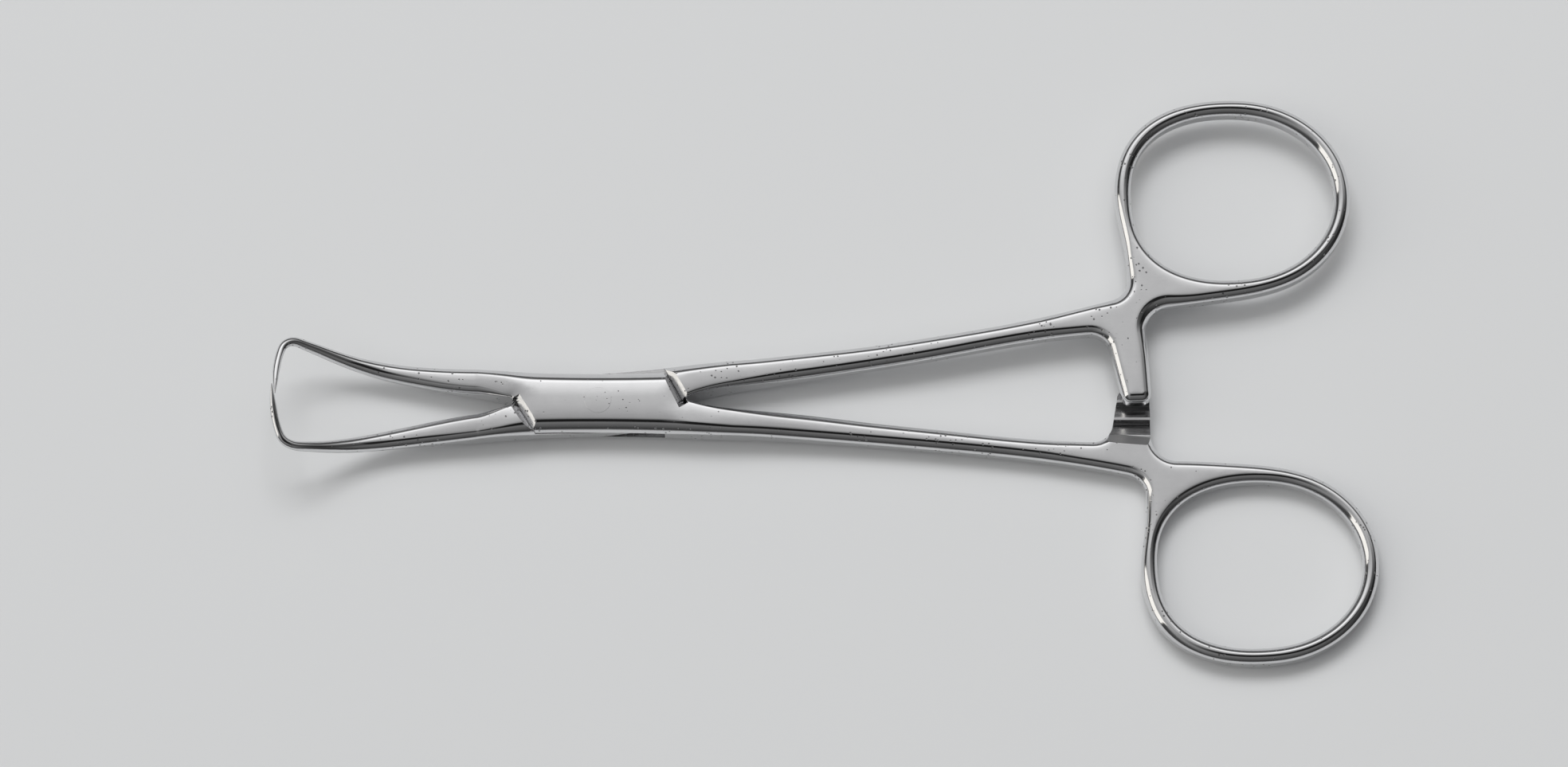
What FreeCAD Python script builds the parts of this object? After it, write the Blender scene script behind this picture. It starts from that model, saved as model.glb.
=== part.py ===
import FreeCAD, Part
import math
import os

# Box-lock towel clamp, closed on its first ratchet tooth.
# Millimetres. Z is up, the origin is on the rest plane straight under the pivot.
# X runs along the clamp towards the finger rings, Y towards the ring of the male half.
# Each half is one forging. The female half has its ring at -Y and its jaw at +Y.

Vector = FreeCAD.Vector

# The two halves. The value is also the side of the ring along Y.
male = 1
female = -1

# Box lock
box_thickness = 4.6
box_half_width = 3.69
box_broad_half_width = 3.95
box_broad_half_width_jaw = 3.86
box_broad_x = 5.5
box_narrow_half_width = 3.5
box_flat_reach = 7.0
cheek_thickness = 1.5
slot_play = 0.03
shoulder_angle = 28.5
shoulder_reach_jaw = 8.4
shoulder_reach_ring = 8.9
shoulder_gap = 0.1
slot_wall_gap = 0.12
crotch_reach_jaw = 10.3
crotch_reach_ring = 10.6
crotch_half_gap = 0.18
parting_half_gap = 0.04
groove_bevel = 0.5

# How far a cutter or a slab reaches past what it cuts
cutter_spare = 5.0
bevel_spare = 0.3

# Pivot
pin_radius = 1.6
pin_running_fit = 0.03
pin_seat_fit = 0.005

# Forged section: flat faces with rounded flanks, deeper than they are wide
flank_width = 0.87
flank_depth_ratio = 1.65

# Handles
handle_thickness = 3.3
male_handle_lift = 1.85
shank_waist_x = 24.0
shank_waist_thickness = 3.5
shank_waist_share = 0.42
handle_level_x = 58.0

# Finger rings
ring_x = {female: 78.6, male: 77.6}
ring_y = {female: 22.75, male: 23.05}
ring_hole_half_length = 12.33
ring_hole_half_width = {female: 10.33, male: 10.55}
ring_wire = 1.9
ring_fullness_outside = 2.05
ring_fullness_inside = 2.4
ring_leaves_web = -58.0
ring_joins_web = 180.0
ring_steps = 16
web_under_inset = 2.7
web_under_drop = 0.55
web_side_inset = 0.8
web_side_drop = 5.8
web_corner_inset = 1.1

# Ratchet bars
bar_inner_x = 61.4
bar_outer_x = 66.2
bar_inner_slope = 0.2
bar_outer_slope = 0.03
bar_overhang = {female: -0.2, male: 2.5}
tooth_pitch = 2.2
tooth_depth = 0.75
tooth_crest = 0.3
tooth_drop = 0.3
tooth_count = 3
first_crest_y = -4.05
ratchet_turn = -2.0
tooth_clearance = 0.08
ratchet_ramp_foot = 5.67
ratchet_ramp_length = 1.3
ratchet_ramp_turn = 7.0
bar_shoulder_rise = 0.9

# Rounds of the outline
web_shoulder_rise = 3.05
web_near_drop = 1.15
web_round = 2.7
bar_round_inner = 2.4
bar_round_outer = 3.2
bar_end_round = 1.15
box_end_round = 1.3
crotch_round = 0.35

# Jaws
jaw_root_x = -14.5
jaw_root_thickness = 3.7
jaw_root_rise = 0.05
jaw_root_slope = 0.11
jaw_root_flare = 0.15
jaw_root_step = 0.41
jaw_neck = 0.3
jaw_crotch_y = 0.45
male_jaw_breadths = (1.04, 1.08, 1.08, 1.08, 1.05)
lean_from_x = -4.0
lean_steady_x = -10.0
lean_at_crotch = 0.36
lean_at_points = 1.3
lean_growth = 2.2
points_pass = 0.19
needle_from_x = -35.0
needle_blend = 2.0
groove_end_ring_y = 0.8
groove_end_jaw_y = 0.45

# Plan of each shank, from the crotch to the web: x, inner y, outer y
shank_edges = {
    female: (
        (14.3, 1.12, 4.50),
        (18.0, 1.54, 4.71),
        (24.0, 2.15, 5.22),
        (32.0, 3.30, 6.06),
        (41.0, 4.55, 7.13),
        (50.5, 5.90, 8.42),
    ),
    male: (
        (14.3, 1.12, 4.53),
        (18.0, 1.48, 4.70),
        (24.0, 2.03, 5.13),
        (32.0, 2.90, 5.74),
        (41.0, 4.05, 6.76),
        (50.5, 5.47, 8.08),
    ),
}

# Jaw centre line and section: x, y, z, half width, half height
jaw_stations = (
    (-18.3, 3.21, 2.46, 1.40, 1.45),
    (-22.1, 3.76, 2.60, 1.18, 1.20),
    (-26.0, 4.43, 2.90, 1.01, 1.02),
    (-29.0, 5.06, 3.62, 0.87, 0.88),
    (-31.6, 5.65, 4.78, 0.75, 0.76),
    (-33.6, 6.10, 6.00, 0.67, 0.68),
    (-35.2, 6.40, 7.05, 0.60, 0.61),
    (-36.55, 6.45, 7.85, 0.55, 0.55),
    (-37.5, 5.90, 8.25, 0.51, 0.51),
    (-38.0, 4.90, 8.50, 0.47, 0.47),
    (-38.3, 3.70, 8.78, 0.45, 0.45),
    (-38.5, 2.40, 9.05, 0.41, 0.41),
    (-38.6, 1.10, 9.32, 0.30, 0.30),
    (-38.64, 0.10, 9.52, 0.16, 0.16),
    (-38.64, -0.60, 9.65, 0.05, 0.05),
)


def share_of_way(x, first, last):
    """How far x has come from first to last, held between 0 and 1."""
    return max(0.0, min(1.0, (x - first) / (last - first)))


def lean(x):
    """Sideways lean of both jaws: a step at the box, then a growing bend to the points."""
    step = share_of_way(x, lean_from_x, lean_steady_x)
    bend = share_of_way(x, lean_steady_x, jaw_stations[-1][0])
    smooth_step = step * step * (3 - 2 * step)
    return lean_at_crotch * smooth_step + (lean_at_points - lean_at_crotch) * bend ** lean_growth


def spline(points, first=None, last=None):
    """Smooth edge through points, with set directions at its ends where given."""
    curve = Part.BSplineCurve()
    if first is not None and last is not None:
        curve.interpolate(Points=points, InitialTangent=first, FinalTangent=last)
    else:
        curve.interpolate(points)
    return curve.toShape()


def handle_lift(side):
    """Height of the underside of a handle above the rest plane."""
    return male_handle_lift if side == male else 0.0


def bar_top_y(side):
    """Where the inner edge of a shank turns into its ratchet bar, along Y."""
    return shank_edges[side][-1][1] + bar_shoulder_rise


def web_near_y(side):
    """Where the outer edge of the ratchet bar meets the underside of the ring, along Y."""
    return ring_y[side] - ring_hole_half_width[side] - ring_wire - web_near_drop


def bar_tip_inner_x(side):
    return bar_inner_x + bar_inner_slope * (bar_top_y(side) + bar_overhang[side])


def bar_tip_outer_x(side):
    return bar_outer_x + bar_outer_slope * (web_near_y(side) + bar_overhang[side])


def ring_end_x(side):
    """The end of a ring that is nearest to the pivot."""
    return ring_x[side] - ring_hole_half_length - ring_wire


def web_corner(side):
    """Corner between the outer edge of a shank and its ring, as x and y."""
    return ring_end_x(side) + web_corner_inset, shank_edges[side][-1][2] + web_shoulder_rise


def ring_point(side, angle, wire):
    """Point of a finger ring seen from above: the hole, or the outer edge one wire further out.

    The half of the ring that carries the web is a fuller curve than the other half.
    """
    turn = math.radians(angle)
    fullness = ring_fullness_outside if math.cos(turn) > 0 else ring_fullness_inside
    along = abs(math.cos(turn)) ** (2 / fullness) * (ring_hole_half_length + wire)
    across = abs(math.sin(turn)) ** (2 / fullness) * (ring_hole_half_width[side] + wire)
    x = ring_x[side] + math.copysign(along, math.cos(turn))
    y = ring_y[side] + math.copysign(across, math.sin(turn))
    return Vector(x, side * y, 0)


def ring_curve(side, first, last, wire, steps):
    """Points of a finger ring between two angles in degrees."""
    return [ring_point(side, first + (last - first) * i / steps, wire) for i in range(steps + 1)]


def jaw_root_half_width():
    return jaw_stations[0][3] + jaw_root_flare


def jaw_root_y():
    return jaw_stations[0][1] - jaw_root_step


def outline(side):
    """Plan outline of a half before its lock is cut, and the hole of its ring.

    The numbers are for a half with its ring at +Y, and side mirrors them.
    """

    def at(x, y):
        return Vector(x, side * y, 0)

    def jaw_at(x, y):
        return Vector(x, side * y + lean(x), 0)

    overhang = bar_overhang[side]
    root_half = jaw_root_half_width()
    root_y = jaw_root_y()

    # Far side of the jaw root and of the box, up to the crotch of the shanks
    box_far = [
        jaw_at(jaw_root_x, -root_y - root_half),
        jaw_at(-box_flat_reach, -box_broad_half_width_jaw),
        at(0, -box_half_width),
        at(shoulder_reach_ring, -box_narrow_half_width),
        at(crotch_reach_ring, -box_narrow_half_width),
    ]
    crotch = at(crotch_reach_ring, crotch_half_gap)
    edges = [spline(box_far), Part.makeLine(box_far[-1], crotch)]

    # Inner edge of the shank, then round the ratchet bar
    inner = [crotch]
    inner += [at(x, y) for x, y, outer_y in shank_edges[side]]
    inner += [at(bar_inner_x, bar_top_y(side))]
    edges.append(spline(inner))
    bar = [
        inner[-1],
        at(bar_tip_inner_x(side), -overhang),
        at(bar_tip_outer_x(side), -overhang),
        at(bar_outer_x, web_near_y(side)),
    ]
    edges += [Part.makeLine(bar[i], bar[i + 1]) for i in range(3)]

    # Underside of the web, round the ring and back along the other side of the web
    ring = ring_curve(side, ring_leaves_web, ring_joins_web, ring_wire, ring_steps)
    under = at(
        ring_x[side] - web_under_inset,
        ring_y[side] - ring_hole_half_width[side] - ring_wire - web_under_drop,
    )
    web_side = at(ring_end_x(side) + web_side_inset, ring_y[side] - web_side_drop)
    corner = at(*web_corner(side))
    edges.append(
        spline(
            [bar[-1], under] + ring + [web_side, corner],
            Vector(1, 0, 0),
            corner - web_side,
        )
    )

    # Outer edge of the shank and near side of the box, up to the crotch of the jaws
    outer = [corner]
    outer += [at(x, y) for x, inner_y, y in reversed(shank_edges[side])]
    outer += [
        at(box_broad_x, box_broad_half_width),
        at(0, box_half_width),
        at(-shoulder_reach_jaw, box_narrow_half_width),
        at(-crotch_reach_jaw, box_narrow_half_width),
    ]
    jaw_crotch = jaw_at(-crotch_reach_jaw, -jaw_crotch_y)
    root_inner = jaw_at(jaw_root_x, -root_y + root_half)
    edges.append(spline(outer))
    edges.append(Part.makeLine(outer[-1], jaw_crotch))
    edges.append(Part.makeLine(jaw_crotch, root_inner))
    edges.append(Part.makeLine(root_inner, box_far[0]))

    hole = Part.BSplineCurve()
    hole.interpolate(Points=ring_curve(side, 0, 360, 0, ring_steps)[:-1], PeriodicFlag=True)
    return Part.Wire(Part.__sortEdges__(edges)), Part.Wire(hole.toShape())


def side_profile(side):
    """Elevation of a half, from the jaw root to the ring, as a face in the XZ plane."""
    low = handle_lift(side)
    high = low + handle_thickness
    middle = box_thickness / 2
    waist = middle + shank_waist_share * ((low + high) / 2 - middle)
    root = middle + jaw_root_rise
    waist_half = shank_waist_thickness / 2
    root_half = jaw_root_thickness / 2
    reach = box_flat_reach
    end = ring_x[side] + ring_hole_half_length + ring_wire + cutter_spare
    ahead = Vector(1, 0, 0)
    behind = Vector(-1, 0, 0)

    def at(x, z):
        return Vector(x, 0, z)

    def level(first, last, z):
        return Part.makeLine(at(first, z), at(last, z))

    def upright(x, first, last):
        return Part.makeLine(at(x, first), at(x, last))

    under = [at(reach, 0), at(shank_waist_x, waist - waist_half), at(handle_level_x, low)]
    over = [at(handle_level_x, high), at(shank_waist_x, waist + waist_half), at(reach, box_thickness)]
    root_over = [at(-reach, box_thickness), at(jaw_root_x, root + root_half)]
    root_under = [at(jaw_root_x, root - root_half), at(-reach, 0)]
    edges = [
        level(-reach, reach, 0),
        spline(under, ahead, ahead),
        level(handle_level_x, end, low),
        upright(end, low, high),
        level(end, handle_level_x, high),
        spline(over, behind, behind),
        level(reach, -reach, box_thickness),
        spline(root_over, behind, Vector(-1, 0, -jaw_root_slope)),
        upright(jaw_root_x, root + root_half, root - root_half),
        spline(root_under, Vector(1, 0, -jaw_root_slope), ahead),
    ]
    return Part.Face(Part.Wire(edges))


def upright_edge(solid, x, y):
    """The upright edge of a prism nearest to a plan point."""
    flat = 1e-6
    best = None
    best_distance = 0.0
    for edge in solid.Edges:
        first = edge.Vertexes[0].Point
        last = edge.Vertexes[-1].Point
        if abs(first.x - last.x) > flat or abs(first.y - last.y) > flat:
            continue
        distance = math.hypot(first.x - x, first.y - y)
        if best is None or distance < best_distance:
            best = edge
            best_distance = distance
    return best


def rim_edges(solid):
    """Edges between a broad face and a flank, without those in the root plane of the jaw."""
    least_turn = 0.3
    flat = 1e-4
    edges = []
    for edge in solid.Edges:
        first = edge.Vertexes[0].Point
        last = edge.Vertexes[-1].Point
        upright = abs(first.x - last.x) < flat and abs(first.y - last.y) < flat
        if upright and abs(first.z - last.z) > flat:
            continue
        if max(abs(first.x - jaw_root_x), abs(last.x - jaw_root_x)) < flat:
            continue
        middle = edge.valueAt((edge.FirstParameter + edge.LastParameter) / 2)
        faces = solid.ancestorsOfType(edge, Part.Face)
        normals = [each.normalAt(*each.Surface.parameter(middle)) for each in faces]
        if len(normals) == 2 and normals[0].getAngle(normals[1]) > least_turn:
            edges.append(edge)
    return edges


def stretched(shape, factor):
    """The shape made deeper or shallower along Z."""
    matrix = FreeCAD.Matrix()
    matrix.scale(1, 1, factor)
    return shape.transformGeometry(matrix)


def forging_blank(side):
    """A half before its lock and ratchet are cut: plan, elevation and rounded flanks."""
    outer, hole = outline(side)
    tall = box_thickness + 2 * cutter_spare
    blank = Part.Face(outer).cut(Part.Face(hole)).extrude(Vector(0, 0, tall))
    blank.translate(Vector(0, 0, -cutter_spare))
    corners = (
        (crotch_reach_ring, -side * box_narrow_half_width, box_end_round),
        (crotch_reach_ring, side * crotch_half_gap, crotch_round),
        (bar_inner_x, side * bar_top_y(side), bar_round_inner),
        (bar_tip_inner_x(side), -side * bar_overhang[side], bar_end_round),
        (bar_tip_outer_x(side), -side * bar_overhang[side], bar_end_round),
        (bar_outer_x, side * web_near_y(side), bar_round_outer),
        (web_corner(side)[0], side * web_corner(side)[1], web_round),
        (-crotch_reach_jaw, side * box_narrow_half_width, box_end_round),
        (-crotch_reach_jaw, -side * jaw_crotch_y + lean(-crotch_reach_jaw), crotch_round),
    )
    for x, y, radius in corners:
        blank = blank.makeFillet(radius, [upright_edge(blank, x, y)])
    breadth = ring_y[side] + ring_hole_half_width[side] + ring_wire + cutter_spare
    slab = side_profile(side).extrude(Vector(0, 2 * breadth, 0))
    slab.translate(Vector(0, -breadth, 0))
    blank = stretched(blank.common(slab), 1 / flank_depth_ratio).removeSplitter()
    blank = blank.makeFillet(flank_width, rim_edges(blank))
    return stretched(blank, flank_depth_ratio)


def rounded_section(middle, along, half_width, half_height):
    """Section of a jaw: a rectangle whose corners are quarter ellipses."""
    across = Vector(0, 0, 1).cross(along)
    across.normalize()
    up = along.cross(across)
    up.normalize()
    fullest = 0.97
    round_width = min(flank_width, half_width * fullest)
    round_height = min(flank_width * flank_depth_ratio, half_height * fullest)
    flat_width = half_width - round_width
    flat_height = half_height - round_height
    steps = 4

    def on_corner(quarter, turn):
        a = (1, -1, -1, 1)[quarter] * flat_width + round_width * math.cos(turn)
        b = (1, 1, -1, -1)[quarter] * flat_height + round_height * math.sin(turn)
        return middle + across * a + up * b

    def heading(turn):
        return up * (round_height * math.cos(turn)) - across * (round_width * math.sin(turn))

    corners = []
    for quarter in range(4):
        start = quarter * math.pi / 2
        turns = [start + step * math.pi / 2 / steps for step in range(steps + 1)]
        points = [on_corner(quarter, turn) for turn in turns]
        corners.append((points, heading(turns[0]), heading(turns[-1])))
    edges = []
    for quarter in range(4):
        points, first, last = corners[quarter]
        edges.append(spline(points, first, last))
        edges.append(Part.makeLine(points[-1], corners[(quarter + 1) % 4][0][0]))
    return Part.Wire(edges)


def root_face(blank):
    """The flat end of a blank, from which its jaw goes on."""
    flat = 1e-4
    for face in blank.Faces:
        if max(abs(vertex.X - jaw_root_x) for vertex in face.Vertexes) < flat:
            return face
    return None


def jaw(side, blank):
    """Jaw from the end of its blank to the needle point, rising out of the plane of the clamp.

    A short neck takes the end of the blank over into the first section of the jaw itself.
    """
    root_half = jaw_root_half_width()
    root = (jaw_root_x, jaw_root_y(), box_thickness / 2 + jaw_root_rise, root_half, jaw_root_thickness / 2)
    first = jaw_stations[0]
    share = share_of_way(jaw_root_x - jaw_neck, jaw_root_x, first[0])
    neck = tuple(a + (b - a) * share for a, b in zip(root, first))
    breadths = (1.0,) + (male_jaw_breadths if side == male else ())
    middles = []
    sizes = []
    for index, (x, y, z, half_width, half_height) in enumerate((neck,) + jaw_stations):
        broader = breadths[index] if index < len(breadths) else 1.0
        aside = -side * points_pass * share_of_way(x, needle_from_x, needle_from_x - needle_blend)
        middles.append(Vector(x + aside, -side * y + lean(x), z))
        sizes.append((half_width * broader, half_height))
    line = Part.BSplineCurve()
    line.interpolate(middles)
    sections = []
    for middle, (half_width, half_height) in zip(middles, sizes):
        along = line.tangent(line.parameter(middle))[0]
        sections.append(rounded_section(middle, along, half_width, half_height))
    neck_piece = Part.makeLoft([root_face(blank).OuterWire, sections[0]], True, True)
    return [neck_piece, Part.makeLoft(sections, True, False)]


def prism(corners, low, high):
    """Upright prism between two heights over a polygon of (x, y) corners."""
    points = [Vector(x, y, low) for x, y in corners]
    points.append(points[0])
    return Part.Face(Part.makePolygon(points)).extrude(Vector(0, 0, high - low))


def lock_line(end, hand, reach):
    """A slanted line across the box, as a function from y to x.

    end is 1 at the rings and -1 at the jaws. hand is 1 for the lines on which the male
    shoulders meet the cheeks, and -1 for the walls of the slot.
    """
    angle = math.radians(shoulder_angle)

    def x_at(y):
        return (end * reach - hand * y * math.sin(angle)) / math.cos(angle)

    return x_at


def beyond(end, hand, reach, line_stop, middle_stop):
    """What lies outside a slanted line of the box, on one side of the middle line."""
    x_at = lock_line(end, hand, reach)
    crotch_reach = crotch_reach_ring if end > 0 else crotch_reach_jaw
    far_y = end * hand * (box_broad_half_width + cutter_spare)
    far_x = end * (crotch_reach + cutter_spare)
    corners = (
        (x_at(far_y), far_y),
        (x_at(line_stop), line_stop),
        (end * crotch_reach, middle_stop),
        (far_x, middle_stop),
        (far_x, far_y),
    )
    return prism(corners, -cutter_spare, box_thickness + cutter_spare)


def between(hand, jaw_reach, ring_reach, low, high):
    """The part of the box between two slanted lines, over its whole width."""
    at_jaw = lock_line(-1, hand, jaw_reach)
    at_ring = lock_line(1, hand, ring_reach)
    far = box_broad_half_width + cutter_spare
    corners = ((at_jaw(far), far), (at_ring(far), far), (at_ring(-far), -far), (at_jaw(-far), -far))
    return prism(corners, low, high)


def groove(end, reach, outward, stop_y):
    """Cutters for the bevels, above and below, along one slanted edge.

    outward is 1 for the bevel on a cheek and -1 for the one on a male shoulder.
    """
    angle = math.radians(shoulder_angle)
    normal = Vector(end * math.cos(angle), end * math.sin(angle), 0)
    along = Vector(-math.sin(angle), math.cos(angle), 0)
    x_at = lock_line(end, 1, reach)
    start = Vector(x_at(stop_y), stop_y, 0)
    run = along * (end * (box_broad_half_width + cutter_spare))
    cutters = []
    for face_z, up in ((box_thickness, 1), (0.0, -1)):
        inner = start - normal * (outward * (groove_bevel + bevel_spare))
        inner += Vector(0, 0, face_z + up * bevel_spare)
        outer = start + normal * (outward * bevel_spare)
        top = outer + Vector(0, 0, face_z + up * bevel_spare)
        bottom = outer + Vector(0, 0, face_z - up * (groove_bevel + bevel_spare))
        face = Part.Face(Part.makePolygon([inner, top, bottom, inner]))
        cutters.append(face.extrude(run))
    return cutters


def middle_y(end):
    """Where the two halves part at each end of the box."""
    return lean(-crotch_reach_jaw) if end < 0 else 0.0


def ratchet_plane():
    """Height between the two ratchet bars."""
    return (handle_lift(male) + handle_lift(female) + handle_thickness) / 2


def ratchet_cutter(side):
    """What is taken off a ratchet bar: its half of the thickness, the teeth and the ramp."""
    facing = -side
    plane = ratchet_plane() - facing * tooth_clearance / 2
    face_z = handle_lift(side) + (handle_thickness if side == female else 0.0)
    left = bar_inner_x - cutter_spare
    wide = Vector(bar_outer_x - bar_inner_x + 2 * cutter_spare, 0, 0)
    far = -side * (bar_overhang[male] + cutter_spare)

    # Ramp down from the web
    foot = side * ratchet_ramp_foot
    top = foot + side * ratchet_ramp_length
    slope = (face_z - plane) / ratchet_ramp_length
    over_z = face_z + slope * cutter_spare
    ramp = [
        Vector(left, far, plane),
        Vector(left, foot, plane),
        Vector(left, top + side * cutter_spare, over_z),
        Vector(left, far, over_z),
    ]
    ramp_cutter = Part.Face(Part.makePolygon(ramp + ramp[:1])).extrude(wide)
    ramp_cutter.rotate(Vector(bar_inner_x, side * top, 0), Vector(0, 0, 1), side * ratchet_ramp_turn)

    # Saw teeth: each rises towards its own ring and drops steeply behind its crest
    deep = plane - facing * tooth_depth
    above = plane + facing * tooth_depth
    cutters = [ramp_cutter]
    for index in range(tooth_count):
        crest = first_crest_y + index * tooth_pitch
        back = crest + side * tooth_crest / 2
        next_front = crest + side * (tooth_pitch - tooth_crest / 2)
        space = [
            Vector(left, back, plane),
            Vector(left, back + side * tooth_drop, deep),
            Vector(left, next_front, plane),
            Vector(left, (back + next_front) / 2, above),
        ]
        cutter = Part.Face(Part.makePolygon(space + space[:1])).extrude(wide)
        cutter.rotate(Vector(bar_outer_x, first_crest_y, 0), Vector(0, 0, 1), ratchet_turn)
        cutters.append(cutter)
    return cutters


def bore(radius):
    """Round bore or pin on the pivot axis, as deep as the box."""
    return Part.makeCylinder(radius, box_thickness)


def make_female_half():
    """Upper jaw, box with its cheeks and slot, lower shank, ring and ratchet bar."""
    blank = forging_blank(female)
    half = blank.fuse(jaw(female, blank))
    slot_high = box_thickness - cheek_thickness
    at_jaw = middle_y(-1)
    cutters = [
        beyond(1, 1, shoulder_reach_ring, -groove_end_ring_y, -parting_half_gap),
        beyond(-1, 1, shoulder_reach_jaw, at_jaw + groove_end_jaw_y, at_jaw + parting_half_gap),
        between(-1, shoulder_reach_jaw, shoulder_reach_ring, cheek_thickness, slot_high),
        bore(pin_radius + pin_seat_fit),
    ]
    cutters += groove(1, shoulder_reach_ring, 1, -groove_end_ring_y)
    cutters += groove(-1, shoulder_reach_jaw, 1, at_jaw + groove_end_jaw_y)
    cutters += ratchet_cutter(female)
    return half.cut(cutters)


def make_male_half():
    """Lower jaw, thinned middle that runs through the slot, upper shank, ring and bar."""
    blank = forging_blank(male)
    half = blank.fuse(jaw(male, blank))
    low = cheek_thickness + slot_play
    high = box_thickness - cheek_thickness - slot_play
    jaw_reach = shoulder_reach_jaw + shoulder_gap
    ring_reach = shoulder_reach_ring + shoulder_gap
    at_jaw = middle_y(-1)
    cutters = [
        between(1, jaw_reach, ring_reach, -cutter_spare, low),
        between(1, jaw_reach, ring_reach, high, box_thickness + cutter_spare),
        beyond(1, -1, shoulder_reach_ring - slot_wall_gap, parting_half_gap, parting_half_gap),
        beyond(-1, -1, shoulder_reach_jaw - slot_wall_gap, -slot_wall_gap, at_jaw - parting_half_gap),
        bore(pin_radius + pin_running_fit),
    ]
    cutters += groove(1, ring_reach, -1, 0.0)
    cutters += groove(-1, jaw_reach, -1, at_jaw)
    cutters += ratchet_cutter(male)
    return half.cut(cutters)


def make_pivot_pin():
    """Pin riveted in both cheeks and ground flush with them."""
    return bore(pin_radius)


def main():
    os.makedirs("parts", exist_ok=True)
    nodes = {
        "female_half": make_female_half(),
        "male_half": make_male_half(),
        "pivot_pin": make_pivot_pin(),
    }
    for name, shape in nodes.items():
        solid = shape.removeSplitter() if name != "pivot_pin" else shape
        solid = solid.Solids[0]
        solid.exportStep("parts/" + name + ".step")
        box = solid.BoundBox
        print(name, "valid", solid.isValid(), "volume", round(solid.Volume, 2))
        print("  x", round(box.XMin, 2), round(box.XMax, 2), "y", round(box.YMin, 2), round(box.YMax, 2))
        print("  z", round(box.ZMin, 3), round(box.ZMax, 3), "solids", len(shape.Solids))


main()
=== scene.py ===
import math

import bmesh
import bpy
import numpy as np
from mathutils import Matrix, Vector
from mathutils.geometry import delaunay_2d_cdt


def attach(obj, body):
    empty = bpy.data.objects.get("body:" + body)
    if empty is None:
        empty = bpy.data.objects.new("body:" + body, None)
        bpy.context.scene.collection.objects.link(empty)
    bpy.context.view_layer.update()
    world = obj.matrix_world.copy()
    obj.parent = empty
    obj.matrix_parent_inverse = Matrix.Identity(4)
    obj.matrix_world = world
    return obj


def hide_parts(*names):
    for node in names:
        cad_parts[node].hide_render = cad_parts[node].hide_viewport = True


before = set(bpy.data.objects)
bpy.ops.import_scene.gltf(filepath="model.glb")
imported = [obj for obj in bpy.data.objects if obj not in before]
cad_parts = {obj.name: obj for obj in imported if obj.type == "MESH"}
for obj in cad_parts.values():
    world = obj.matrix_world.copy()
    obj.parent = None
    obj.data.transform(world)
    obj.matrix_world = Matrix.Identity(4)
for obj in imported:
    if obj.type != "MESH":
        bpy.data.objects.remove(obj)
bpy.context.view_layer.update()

# Towel clamp lying on a pale floor, in the frame of the CAD model: X towards the finger
# rings, Y towards the ring of the male half, Z up, and the origin under the pivot.
# Lengths are in millimetres up to the point where a mesh is made.
MM = 0.001

# The two halves. The value is also the side of the ring along Y.
male = 1
female = -1

# Box lock
box_thickness = 4.6
box_half_width = 3.69
box_broad_half_width = 3.95
box_broad_half_width_jaw = 3.86
box_broad_x = 5.5
box_narrow_half_width = 3.5
box_flat_reach = 7.0
cheek_thickness = 1.5
slot_play = 0.03
shoulder_angle = 28.5
shoulder_reach_jaw = 8.4
shoulder_reach_ring = 8.9
shoulder_gap = 0.1
slot_wall_gap = 0.12
crotch_reach_jaw = 10.3
crotch_reach_ring = 10.6
crotch_half_gap = 0.18
parting_half_gap = 0.04
groove_end_ring_y = 0.8
groove_end_jaw_y = 0.45

# Bevels along the edges of the lock: how wide, and how deep for each millimetre of width
groove_bevel = 0.78
groove_bevel_tilt = 0.87
broad_bevel_crotch = 1.0
broad_bevel_outside = 0.25
broad_bevel_tilt = 1.2

# How far cutters reach past what they cut
cutter_spare = 5.0
bevel_spare = 0.3
bore_spare = 1.0

# Pivot
pin_radius = 1.6
pin_running_fit = 0.03
pin_proud = 0.003
pin_turns = 96
pin_rings = (0.4, 0.8, 1.2, 1.56)

# Flanks of the forged section, as arcs: slopes at both ends in degrees, width and steps
flank_width = 0.87
flank_depth = 0.86
flank_arcs = (
    (0, 9, 0.04, 1),
    (9, 25, 0.26, 4),
    (25, 32, 0.04, 1),
    (32, 50, 0.42, 2),
    (50, 90, 0.12, 4),
)

# Where the flanks are broader or narrower, as a share of their width
box_flank_share = 1.55
box_flank_reach = 7.0
box_flank_end_ring = 20.0
box_flank_end_jaw = 14.5
shank_flank_share = 1.12
shank_flank_start = 12.0
shank_flank_end = 58.0
shank_flank_blend = 5.0
crotch_flank_share = 0.25
crotch_flank_fade_ring = 13.0
crotch_flank_fade_jaw = 4.2
crotch_flank_starts = -1.0
inner_edge_low = -1.5
inner_edge_high = 2.8
inner_edge_blend_low = 1.5
inner_edge_blend_high = 0.5
web_hollow = (66.0, 9.5)
web_hollow_reach = 7.0
web_flank_share = 1.6

# Crown of the polished faces, falling away towards their edges
crown_drop = 0.09
crown_width = 1.65
box_crown_drop = 0.22
box_crown_width = 3.6
crown_box_end = 11.5
crown_box_blend = 4.0

# Handles
handle_thickness = 3.3
male_handle_lift = 1.85
shank_waist_x = 24.0
shank_waist_thickness = 3.5
shank_waist_share = 0.42
handle_level_x = 58.0

# Finger rings
ring_x = {female: 78.6, male: 77.6}
ring_y = {female: 22.75, male: 23.05}
ring_hole_half_length = 12.33
ring_hole_half_width = {female: 10.33, male: 10.55}
ring_wire = 1.9
ring_fullness_outside = 2.05
ring_fullness_inside = 2.4
ring_leaves_web = -58.0
ring_joins_web = 180.0
ring_steps = 16
web_under_inset = 2.7
web_under_drop = 0.55
web_side_inset = 0.8
web_side_drop = 5.8
web_corner_inset = 1.1

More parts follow.
